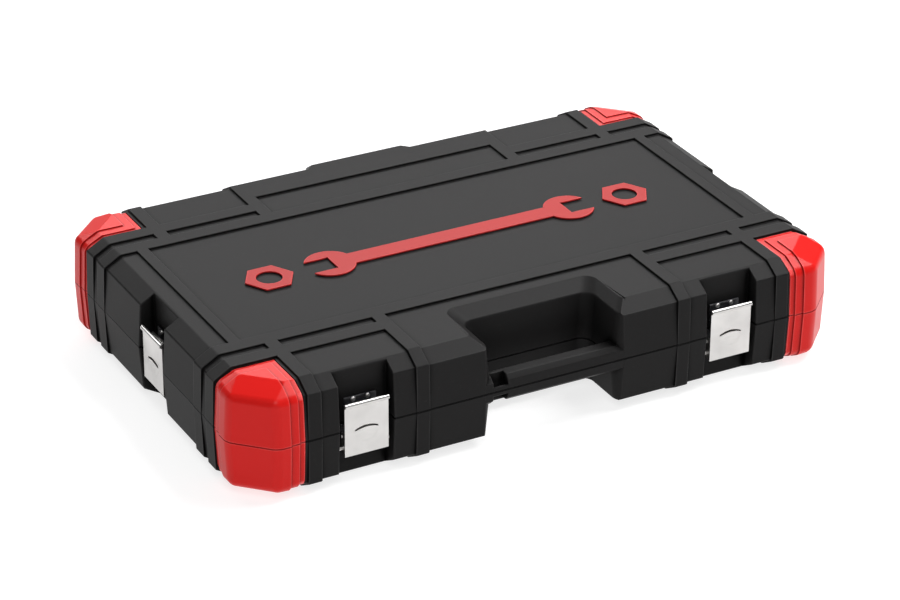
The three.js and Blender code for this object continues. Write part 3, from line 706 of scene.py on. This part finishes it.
def latches():
    """Four latches alike, each turned and moved to its side of the case."""
    lever = joined_mm("lever", (lever_plate(), lever_cheek(-1), lever_cheek(1)))
    catch = keeper()
    for name in LATCHES:
        place = latch_frame(name)
        stand_for(placed(lever, f"lever_{name}_pressed", place), f"latch_lever_{name}")
        # The keeper goes in dark steel as painted shade: it sits back in the latch's shaded recess.
        stand_for(placed(catch, f"keeper_{name}_bent", place), f"latch_keeper_{name}", "dark_steel")
        for side in (-1, 1):
            rivet = keeper_rivet(side)
            add_piece(placed(rivet, f"keeper_rivet_{name}_{side}", place), "lid", "nickel_steel")
            bpy.data.objects.remove(rivet)
        # The bracket goes in dark steel as painted shade, for the shade it lies in beside the
        # lever.
        round_evenly(f"latch_bracket_{name}", 0.25 * MM, "dark_steel")
        for part in ("hook", "pin"):
            round_evenly(f"latch_{part}_{name}", 0.25 * MM)
    for pattern in (lever, catch):
        bpy.data.objects.remove(pattern)


# ---------------------------------------------------------------- bodies built from rings
HALF_INCH = 12.7 * MM
QUARTER_INCH = 6.35 * MM
HEXAGON_CORNER = 0.97  # how much of a hexagon's corner reach its rounding leaves
SQUARE_CORNER = 0.93
LEAD_IN = 1.36  # radius of a square hole's round mouth, in half widths of the square


def circle_radius(radius):
    return lambda angle: radius


def flats_radius(half_width, sides, rounding=1.0):
    """Radius of a regular polygon at an angle, its corners cut off at rounding of their reach."""
    def radius(angle):
        step = 2 * math.pi / sides
        off = (angle + step / 2) % step - step / 2
        return min(half_width / math.cos(off), rounding * half_width / math.cos(step / 2))
    return radius


def ring_body(name, axis, centre, rings, closed=False, count=72):
    """Skins (radius function, distance along the axis) rings; closed makes a through hole."""
    place = {
        "x": lambda u, v, h: (h, centre[0] + u, centre[1] + v),
        "y": lambda u, v, h: (centre[0] + v, h, centre[1] + u),
        "z": lambda u, v, h: (centre[0] + u, centre[1] + v, h),
    }[axis]
    bm = bmesh.new()
    loops = []
    for radius, h in rings:
        loop = []
        for i in range(count):
            angle = 2 * math.pi * i / count
            r = radius(angle)
            loop.append(bm.verts.new(place(r * math.cos(angle), r * math.sin(angle), h)))
        loops.append(loop)
    pairs = list(zip(loops, loops[1:]))
    if closed:
        pairs.append((loops[-1], loops[0]))
    else:
        bm.faces.new(loops[0])
        bm.faces.new(loops[-1])
    for low, high in pairs:
        for i in range(count):
            j = (i + 1) % count
            bm.faces.new((low[i], low[j], high[j], high[i]))
    bmesh.ops.recalc_face_normals(bm, faces=bm.faces)
    obj = object_from(name, bm)
    smooth_faces(obj, 30)
    return obj


def socket(node):
    """A hexagon mouth with a lead-in at the top, a grooved collar and a square drive below."""
    low, high = (Vector(c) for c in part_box(node))
    radius = (high.x - low.x) / 2
    z0, z1 = low.z, high.z
    length = z1 - z0
    drive = (HALF_INCH if "half" in node else QUARTER_INCH) / 2
    flats = int(node.rsplit("_", 1)[1]) * MM / 2
    edge = 0.05 * radius
    groove = 0.03 * radius
    collar = z0 + 0.4 * length
    hexagon = flats_radius(flats, 6, HEXAGON_CORNER)
    square = flats_radius(drive, 4, SQUARE_CORNER)
    corner = flats / math.cos(math.pi / 6)
    outside = [
        (circle_radius(radius - edge), z0),
        (circle_radius(radius), z0 + edge),
        (circle_radius(radius), collar),
        (circle_radius(radius - groove), collar + groove),
        (circle_radius(radius - groove), collar + 0.07 * length),
        (circle_radius(radius), collar + 0.07 * length + groove),
        (circle_radius(radius), z1 - edge),
        (circle_radius(radius - edge), z1),
    ]
    inside = [
        (circle_radius(min(corner * 1.02, radius - 1.5 * edge)), z1),
        (hexagon, z1 - 1.2 * MM),
        (hexagon, z0 + 0.45 * length),
        (circle_radius(flats * 0.9), z0 + 0.43 * length),
        (square, z0 + 0.42 * length),
        (square, z0 + 0.6 * MM),
        (circle_radius(drive * LEAD_IN), z0),
    ]
    centre = ((low.x + high.x) / 2, (low.y + high.y) / 2)
    return ring_body(f"{node}_turned", "z", centre, outside + inside, closed=True)


def grip(node):
    """A waisted handle with six shallow flutes and a collar at each end.

    Each station is a share of the length, a share of the radius, and 1 where it has flutes.
    """
    low, high = (Vector(c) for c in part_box(node))
    full = (high.y - low.y) / 2
    length = high.x - low.x
    stations = [
        (0.0, 0.72, 0), (0.004, 0.8, 0), (0.05, 0.94, 0), (0.075, 0.95, 0), (0.08, 0.9, 0),
        (0.1, 0.9, 0), (0.105, 0.97, 0), (0.13, 0.98, 1), (0.22, 0.985, 1), (0.36, 0.94, 1),
        (0.5, 0.87, 1), (0.66, 0.93, 1), (0.8, 0.985, 1), (0.86, 0.98, 1), (0.885, 0.97, 0),
        (0.89, 0.9, 0), (0.91, 0.9, 0), (0.915, 0.95, 0), (0.96, 0.91, 0), (0.99, 0.8, 0),
        (1.0, 0.68, 0),
    ]

    def fluted(share, depth):
        def radius(angle):
            return full * share * (1 - 0.07 * depth * max(0.0, math.cos(6 * angle)) ** 1.5)
        return radius

    rings = [(fluted(share, depth), low.x + length * t) for t, share, depth in stations]
    centre = ((low.y + high.y) / 2, (low.z + high.z) / 2)
    return ring_body(f"{node}_fluted", "x", centre, rings, count=96)


def extension_bar(node):
    """A square socket in a knurled cup, a plain shaft, a collar and the drive square."""
    low, high = (Vector(c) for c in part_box(node))
    axis = "x" if node.endswith("long") else "y"
    along = 0 if axis == "x" else 1
    middle = (low + high) / 2
    centre = (middle.y, middle.z) if axis == "x" else (middle.x, middle.z)
    start, end = low[along], high[along]
    cup = (high.z - low.z) / 2
    shaft, collar, half = cup / 1.45, cup / 1.16, HALF_INCH / 2

    def knurled(angle):
        return cup * (1 - 0.035 * (0.5 + 0.5 * math.cos(24 * angle)))

    square = flats_radius(half, 4, SQUARE_CORNER)
    rings = [
        (square, start + 12 * MM), (square, start + 0.6 * MM),
        (circle_radius(half * LEAD_IN), start),
        (circle_radius(cup - 0.7 * MM), start), (circle_radius(cup), start + 0.7 * MM),
        (circle_radius(cup), start + 4 * MM), (knurled, start + 4.6 * MM),
        (knurled, start + 14 * MM), (circle_radius(cup), start + 14.6 * MM),
        (circle_radius(cup), start + 20 * MM), (circle_radius(shaft), start + 24 * MM),
        (circle_radius(shaft), end - 25.5 * MM), (circle_radius(collar), end - 23.8 * MM),
        (circle_radius(collar), end - 13.6 * MM), (circle_radius(collar * 0.93), end - 12.8 * MM),
        (square, end - 12.2 * MM), (square, end - 0.8 * MM),
        (flats_radius(half - 0.7 * MM, 4, SQUARE_CORNER), end),
    ]
    return ring_body(f"{node}_turned", axis, centre, rings, count=96)


# ---------------------------------------------------------------- lid foam
FOAM_STEP = 4 * MM
FOAM_PITCH = 24 * MM
FOAM_WAVE = 1.4 * MM
FOAM_EAR = (20 * MM, 32 * MM)  # cut off each rear corner


def foam_sheet():
    """Egg-crate foam: a wavy face towards the tools, flat where it is glued to the lid."""
    low, high = (Vector(c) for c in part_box("lid_foam"))
    columns = round((high.x - low.x) / FOAM_STEP)
    rows = round((high.y - low.y) / FOAM_STEP)
    xs = [low.x + (high.x - low.x) * i / columns for i in range(columns + 1)]
    ys = [low.y + (high.y - low.y) * j / rows for j in range(rows + 1)]
    ears = (high.x - FOAM_EAR[0], high.y - FOAM_EAR[1])

    def wave(x, y):
        turn = 2 * math.pi / FOAM_PITCH
        return FOAM_WAVE * 0.5 * (1 + math.sin(turn * x) * math.sin(turn * y))

    bm = bmesh.new()
    front = [[bm.verts.new((x, y, low.z + wave(x, y))) for y in ys] for x in xs]
    back = [[bm.verts.new((x, y, high.z)) for y in ys] for x in xs]
    for i in range(columns):
        for j in range(rows):
            if abs(xs[i] + xs[i + 1]) / 2 > ears[0] and (ys[j] + ys[j + 1]) / 2 > ears[1]:
                continue
            for sheet in (front, back):
                bm.faces.new((sheet[i][j], sheet[i][j + 1], sheet[i + 1][j + 1], sheet[i + 1][j]))
    behind = {a: b for line, other in zip(front, back) for a, b in zip(line, other)}
    border = [e for e in bm.edges if e.is_boundary and e.verts[0] in behind]
    for a, b in (edge.verts for edge in border):
        bm.faces.new((a, b, behind[b], behind[a]))
    loose = [v for v in bm.verts if not v.link_faces]
    bmesh.ops.delete(bm, geom=loose, context="VERTS")
    bmesh.ops.recalc_face_normals(bm, faces=bm.faces)
    obj = object_from("lid_foam_sheet", bm)
    smooth_faces(obj, 50)
    return obj


def contents():
    """The tools, the tray they lie in and the foam over them."""
    for node in NODES:
        if node.startswith("socket_"):
            stand_for(socket(node), node)
        elif node.startswith("ratchet_grip"):
            stand_for(grip(node), node)
        elif node.startswith("extension_bar"):
            stand_for(extension_bar(node), node)
        elif node.startswith("ratchet_body"):
            round_evenly(node, 0.9 * MM)
        elif node.startswith(("ratchet_", "hinge_pin")):
            round_evenly(node, 0.3 * MM)
    round_evenly("tool_tray", 0.7 * MM)
    foam = foam_sheet()
    stand_for(foam, "lid_foam")


# ---------------------------------------------------------------- camera, floor and light
LENS = 131.7
VIEW = (-28.384, 27.727, 0.34)  # azimuth, elevation and roll in degrees
VIEWPOINT = (-0.9111, -1.6909, 1.0345)
FLOOR_HALF = 30
FLOOR_DROP = 0.2 * MM
# Azimuth 0 is the handle side, 90 the left end. Angles in degrees, lengths in metres.
LIGHTS = [
    {
        "name": "top", "azimuth": -85, "elevation": 60, "distance": 1.9,
        "size": (1.2, 1.0), "power": 46,
    },
    {
        "name": "behind", "azimuth": 190, "elevation": 34, "distance": 2.2,
        "size": (2.6, 1.0), "power": 34,
    },
    {
        "name": "front", "azimuth": 28, "elevation": 48, "distance": 2.0,
        "size": (0.9, 0.9), "power": 12,
    },
]


def camera():
    data = bpy.data.cameras.new("photo_view")
    data.lens = LENS
    data.sensor_width = 36
    obj = new_object("photo_view", data)
    azimuth, elevation, roll = map(math.radians, VIEW)
    back = Vector((
        math.sin(azimuth) * math.cos(elevation),
        -math.cos(azimuth) * math.cos(elevation),
        math.sin(elevation),
    ))
    right = Vector((0, 0, 1)).cross(back).normalized()
    up = back.cross(right)
    across = right * math.cos(roll) + up * math.sin(roll)
    upward = up * math.cos(roll) - right * math.sin(roll)
    turn = Matrix((across, upward, back)).transposed().to_4x4()
    obj.matrix_world = Matrix.Translation(VIEWPOINT) @ turn
    bpy.context.scene.camera = obj


def floor():
    mesh = bpy.data.meshes.new("floor")
    corners = [
        (x * FLOOR_HALF, y * FLOOR_HALF, -FLOOR_DROP)
        for x, y in ((-1, -1), (1, -1), (1, 1), (-1, 1))
    ]
    mesh.from_pydata(corners, [], [(0, 1, 2, 3)])
    obj = new_object("floor", mesh)
    s = Shader("floor_white", Roughness=0.9, Base_Color=(0.35, 0.35, 0.35, 1))
    s.bsdf.inputs["Emission Color"].default_value = (1, 1, 1, 1)
    s.bsdf.inputs["Emission Strength"].default_value = 0.78
    obj.data.materials.append(s.material)


def area_light(name, azimuth, elevation, distance, size, power):
    """A soft light aimed at the case."""
    data = bpy.data.lights.new(name, "AREA")
    data.shape = "RECTANGLE"
    data.size, data.size_y = size
    data.energy = power
    obj = new_object(name, data)
    a, e = math.radians(azimuth), math.radians(elevation)
    away = Vector((-math.sin(a) * math.cos(e), -math.cos(a) * math.cos(e), math.sin(e)))
    obj.location = away * distance
    obj.rotation_mode = "QUATERNION"
    obj.rotation_quaternion = (-away).to_track_quat("-Z", "Y")


def studio():
    world = bpy.data.worlds.new("studio")
    bpy.context.scene.world = world
    world.use_nodes = True
    background = world.node_tree.nodes["Background"]
    background.inputs["Color"].default_value = (1, 1, 1, 1)
    background.inputs["Strength"].default_value = 0.1
    for light in LIGHTS:
        area_light(**light)
    bpy.context.scene.view_settings.view_transform = "Standard"


case()
latches()
contents()
camera()
floor()
studio()
